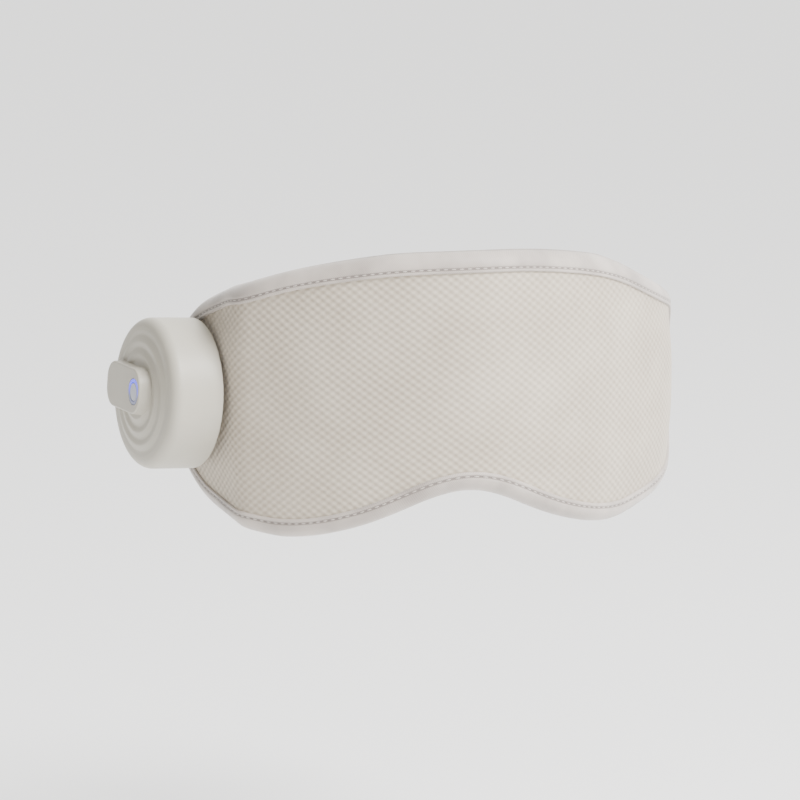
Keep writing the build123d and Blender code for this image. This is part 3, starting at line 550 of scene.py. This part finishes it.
def run_at(x):
    """Run whose place on the skin side has this X, mm."""
    side, low, high = (1 if x >= 0 else -1), 0.0, 130.0
    for _ in range(40):
        middle = (low + high) / 2
        if abs(plan_point(side * middle, SKIN)[0]) < abs(x):
            low = middle
        else:
            high = middle
    return side * (low + high) / 2


def rounded_box(half_x, half_z, corner, share):
    """Point of a rounded rectangle's outline, going round once as share goes 0 to 1."""
    spans = [half_x - corner, half_z - corner]
    lengths = [2 * spans[1], corner * math.pi / 2, 2 * spans[0], corner * math.pi / 2] * 2
    left = (share % 1) * sum(lengths)
    x, z, heading = half_x, -spans[1], math.pi / 2
    for k, length in enumerate(lengths):
        step = min(left, length)
        left -= step
        if k % 2:
            turned = heading + step / corner
            x += corner * (math.sin(turned) - math.sin(heading))
            z += corner * (math.cos(heading) - math.cos(turned))
            heading = turned
        else:
            x, z = x + math.cos(heading) * step, z + math.sin(heading) * step
        if left <= 1e-9:
            break
    return x, z


def make_cushion(side, hand):
    """Ring of padding round one eye."""
    def chart(i, j):
        share = i / CUSHION_STEPS
        inner = rounded_box(CUP_X, CUP_Z, CUP_CORNER, share)
        outer = rounded_box(CUP_X + CUSHION_WALL, CUP_Z + CUSHION_WALL, CUP_CORNER + CUSHION_WALL, share)
        t, rise = CUSHION_ROWS[j]
        x = side * CUSHION_X + outer[0] * (1 - t) + inner[0] * t
        return x, CUSHION_Z + outer[1] * (1 - t) + inner[1] * t, SKIN + rise

    def place(i, j):
        x, z, depth = chart(i, j)
        return on_pad(run_at(x) if side > 0 else x * BEFORE_BEND / CUSHION_REACH, z, depth)

    def pattern(i, j):
        x, z, _ = chart(i, j)
        return x, z + CHART_ROW * j

    cushion = make_piece(
        f"eye_cushion_{hand}_soft", shaped_grid(CUSHION_STEPS, len(CUSHION_ROWS) - 1, place, pattern),
        [cushion_cloth], "mask", (f"eye_cushion_{hand}",),
    )


NOSE_RUN, NOSE_Z, NOSE_RISE = 6.5, -13, 3.9
NOSE_HALF_RUN, NOSE_HALF_Z, NOSE_CUTS = 3.3, 7.8, 7


def make_nose_pad(side, hand):
    """Small domed pad beside the bridge of the nose: a cube that is drawn in towards its corners."""
    bm = bmesh.new()
    bmesh.ops.create_cube(bm, size=1.0)
    bmesh.ops.subdivide_edges(bm, edges=bm.edges, cuts=NOSE_CUTS, use_grid_fill=True)
    for v in bm.verts:
        u, w, d = v.co.x * 2, v.co.z * 2, v.co.y + 0.5
        narrow = math.sqrt(max(0.05, 1 - 0.42 * w * w)) * math.sqrt(1 - 0.2 * w * w)
        fall = math.sqrt(max(0.04, 1 - 0.8 * max(abs(u), abs(w)) ** 3))
        z = NOSE_Z + w * NOSE_HALF_Z * math.sqrt(1 - 0.35 * u * u)
        v.co = on_pad(side * NOSE_RUN + u * NOSE_HALF_RUN * narrow, z, SKIN + 0.05 + NOSE_RISE * d * fall)
    uv = bm.loops.layers.uv.new("chart")
    for face in bm.faces:
        for loop in face.loops:
            loop[uv].uv = (loop.vert.co.x / MM, loop.vert.co.z / MM)
    bmesh.ops.recalc_face_normals(bm, faces=bm.faces)
    nose_pad = make_piece(
        f"nose_pad_{hand}_soft", bm, [cushion_cloth], "mask", (f"nose_pad_{hand}",),
    )


for side, hand in ((1, "left"), (-1, "right")):
    make_cushion(side, hand)
    make_nose_pad(side, hand)

# ---- strap and ring loop: elastic webbing on edge ----
STRAP, STRAP_WIDTH, STRAP_Z = 1.5, 28.0, -7.0
STRAP_STEP, CORNER_STEPS, TURN_STEPS = 1.5, 24, 16
RIPPLES_PER_MM, RIPPLE_SHARE = 0.9, 0.04


def swung(arm, angle):
    """An arm in plan, turned by an angle."""
    turned_x = arm.x * math.cos(angle) - arm.y * math.sin(angle)
    return Vector((turned_x, arm.x * math.sin(angle) + arm.y * math.cos(angle)))


def route(*points, corner=0.0):
    """Line in plan through points in mm, its corners rounded."""
    points = [Vector(p) for p in points]
    line = [points[0]]
    for before, at, after in zip(points, points[1:], points[2:]):
        a, b = (before - at).normalized(), (after - at).normalized()
        half = a.angle(b) / 2
        cut = corner / math.tan(half)
        centre = at + (a + b).normalized() * (corner / math.sin(half))
        start = at + a * cut - centre
        swing = start.angle_signed(at + b * cut - centre)
        line += [centre + swung(start, -swing * k / CORNER_STEPS) for k in range(CORNER_STEPS + 1)]
    line.append(points[-1])
    return line


def half_turn(start, centre):
    """Points round a bar, half a turn anticlockwise."""
    start, centre = Vector(start), Vector(centre)
    return [centre + swung(start - centre, math.pi * k / TURN_STEPS) for k in range(1, TURN_STEPS)]


def far_side(start, bar):
    """Where half a turn round a bar ends."""
    return tuple(2 * b - a for a, b in zip(start, bar))


def evened(line):
    """The same line with its points about a step apart, and each one's distance along it."""
    fine = []
    for a, b in zip(line, line[1:]):
        steps = max(1, round((b - a).length / STRAP_STEP))
        fine += [a + (b - a) * (k / steps) for k in range(steps)]
    fine.append(line[-1])
    distance = [0.0]
    for a, b in zip(fine, fine[1:]):
        distance.append(distance[-1] + (b - a).length)
    return fine, distance


def webbing_section():
    """Cross-section of the webbing, going round once: (across, up)."""
    half, w = STRAP / 2, STRAP_WIDTH / 2
    front = [(half, up) for up in (-w + 0.6, -w / 2, 0, w / 2, w - 0.6)]
    front += [(half * 0.6, w - 0.1), (0, w), (-half * 0.6, w - 0.1)]
    behind = [(-across, -up) for across, up in front]
    return front + behind + front[:1]


def webbing_piece(name, line, stands_for, ripple):
    """A strap standing on its edge along a line in plan, its faces a little uneven."""
    line, distance = evened(line)
    section = webbing_section()
    last = len(line) - 1

    def place(i, j):
        k = min(max(i - 1, 0), last)
        tangent = (line[min(k + 1, last)] - line[max(k - 1, 0)]).normalized()
        across, up = section[j]
        wave = ripple * math.sin(distance[k] * RIPPLES_PER_MM) * (1 - abs(up) / (STRAP_WIDTH / 2))
        across *= 0.0 if i in (0, last + 2) else 1 - RIPPLE_SHARE * wave
        p = line[k] + Vector((tangent.y, -tangent.x)) * across
        return Vector((p.x, p.y, STRAP_Z + up)) * MM

    def pattern(i, j):
        return section[j][1], distance[min(max(i - 1, 0), last)]

    bm = shaped_grid(len(line) + 1, len(section) - 1, place, pattern)
    bmesh.ops.holes_fill(bm, edges=[e for e in bm.edges if e.is_boundary], sides=0)
    bmesh.ops.recalc_face_normals(bm, faces=bm.faces)
    piece = make_piece(name, bm, [webbing], "mask", stands_for)


# from the right temple round the back of the head, round the ring and back to the adjuster
BACK_Y, RETURN_Y = 112.0, 115.3
BACK_RIGHT_X, BACK_LEFT_X, RETURN_LEFT_X = -76.421, 83.953, 87.253
STRAP_START, STRAP_END_X = (-65.438, 63.446), -14.5
STRAP_AT_RING, STRAP_BAR = (82.348, 86.221), (84.594, 86.081)
strap_line = route(
    STRAP_START, (BACK_RIGHT_X, BACK_Y), (BACK_LEFT_X, BACK_Y), STRAP_AT_RING, corner=16
)
strap_line += half_turn(STRAP_AT_RING, STRAP_BAR)
strap_line += route(
    far_side(STRAP_AT_RING, STRAP_BAR), (RETURN_LEFT_X, RETURN_Y), (STRAP_END_X, RETURN_Y), corner=19.3
)
webbing_piece("strap_webbing_band", strap_line, ("strap_band",), 1.0)

# sewn along the skin side at the left temple, then round the ring's other bar
LOOP_DEPTH, LOOP_RUNS, LOOP_POINTS = PAD + 1.35, (112, 134), 12
LOOP_AT_RING, LOOP_BAR, LOOP_END = (81.913, 79.235), (84.159, 79.095), (86.033, 72.967)
loop_line = [Vector(plan_point(run, LOOP_DEPTH)) for run in np.linspace(*LOOP_RUNS, LOOP_POINTS)]
loop_line += [Vector(LOOP_AT_RING)] + half_turn(LOOP_AT_RING, LOOP_BAR)
loop_line += route(far_side(LOOP_AT_RING, LOOP_BAR), LOOP_END)
webbing_piece("ring_loop_webbing", loop_line, ("ring_loop",), 0.5)

# ---- floor and lights, in metres ----
FLOOR_Z, FLOOR_REACH = -0.2, 6.0


def pale_floor():
    """Plain floor under the mask."""
    bm = bmesh.new()
    bmesh.ops.create_grid(bm, x_segments=1, y_segments=1, size=FLOOR_REACH)
    bmesh.ops.translate(bm, verts=bm.verts, vec=(0, 0, FLOOR_Z))
    mesh = bpy.data.meshes.new("floor")
    bm.to_mesh(mesh)
    bm.free()
    pale = Finish("pale_floor", 0.9)
    pale.shader.inputs["Base Color"].default_value = (0.92, 0.92, 0.92, 1)
    mesh.materials.append(pale.material)
    floor = bpy.data.objects.new("floor", mesh)
    bpy.context.scene.collection.objects.link(floor)


def studio_world():
    """Soft light all round, faint from the pod's side and strong from the other."""
    world = bpy.data.worlds.new("studio")
    bpy.context.scene.world = world
    world.use_nodes = True
    tree = world.node_tree
    sky = tree.nodes["Background"]
    sky.inputs["Color"].default_value = (1, 0.995, 0.98, 1)
    around = tree.nodes.new("ShaderNodeTexCoord")
    split = tree.nodes.new("ShaderNodeSeparateXYZ")
    spread = tree.nodes.new("ShaderNodeMapRange")
    for socket, value in zip(("From Min", "From Max", "To Min", "To Max"), (-0.8, 0.6, 0.15, 3.4)):
        spread.inputs[socket].default_value = value
    tree.links.new(around.outputs["Generated"], split.inputs[0])
    tree.links.new(split.outputs["X"], spread.inputs["Value"])
    tree.links.new(spread.outputs[0], sky.inputs["Strength"])


def softbox(name, place, size, power):
    """Square lamp that faces the mask."""
    light = bpy.data.lights.new(name, "AREA")
    light.shape, light.size, light.energy = "SQUARE", size, power
    holder = bpy.data.objects.new(name, light)
    holder.location = place
    holder.rotation_euler = (Vector((0, 0.03, 0)) - Vector(place)).to_track_quat("-Z", "Y").to_euler()
    bpy.context.scene.collection.objects.link(holder)


pale_floor()
studio_world()
softbox("key_light", (0.6, -0.8, 1.05), 0.5, 44.0)
